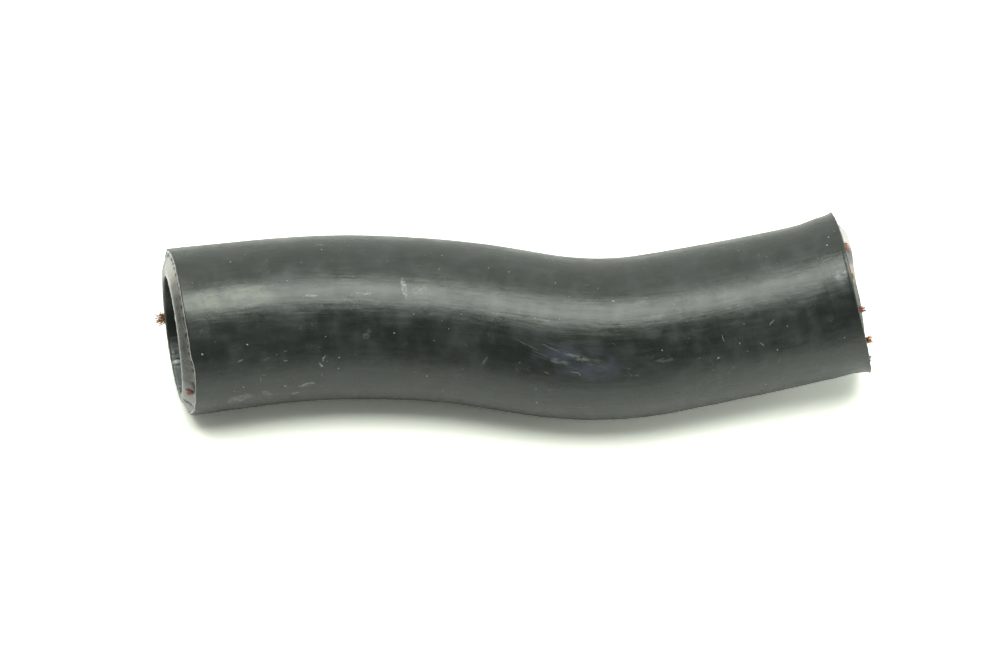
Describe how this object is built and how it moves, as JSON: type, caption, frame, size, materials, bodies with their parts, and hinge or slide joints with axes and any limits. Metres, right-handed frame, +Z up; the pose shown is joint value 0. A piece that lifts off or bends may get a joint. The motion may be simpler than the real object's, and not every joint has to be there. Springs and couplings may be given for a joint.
{
  "type": "rubber hose",
  "caption": "Short S-shaped moulded black rubber coolant hose, scuffed outside, with cut ends that show the liner and frayed reinforcing yarn.",
  "frame": {"origin": "on the table, under the middle of the object's box", "axes": "+X along the hose from its left end to its right end, +Y away from the viewer, +Z up"},
  "size_m": [0.1208, 0.0348, 0.0298],
  "materials": {
    "black_rubber": "worn satin black with fine scuffs and dust",
    "yarn_orange": "frayed matte yarn",
    "yarn_pink": "frayed matte yarn",
    "yarn_brown": "frayed matte yarn",
    "yarn_grey": "frayed matte yarn"
  },
  "bodies": {
    "root": {"hose": "black_rubber", "left_far_yarn": "yarn_orange", "left_low_yarn": "yarn_pink", "right_top_yarn": "yarn_orange", "right_face_yarn": "yarn_brown", "right_upper_yarn": "yarn_pink", "right_middle_yarn": "yarn_orange", "right_low_yarn": "yarn_grey"}
  },
  "joints": []
}
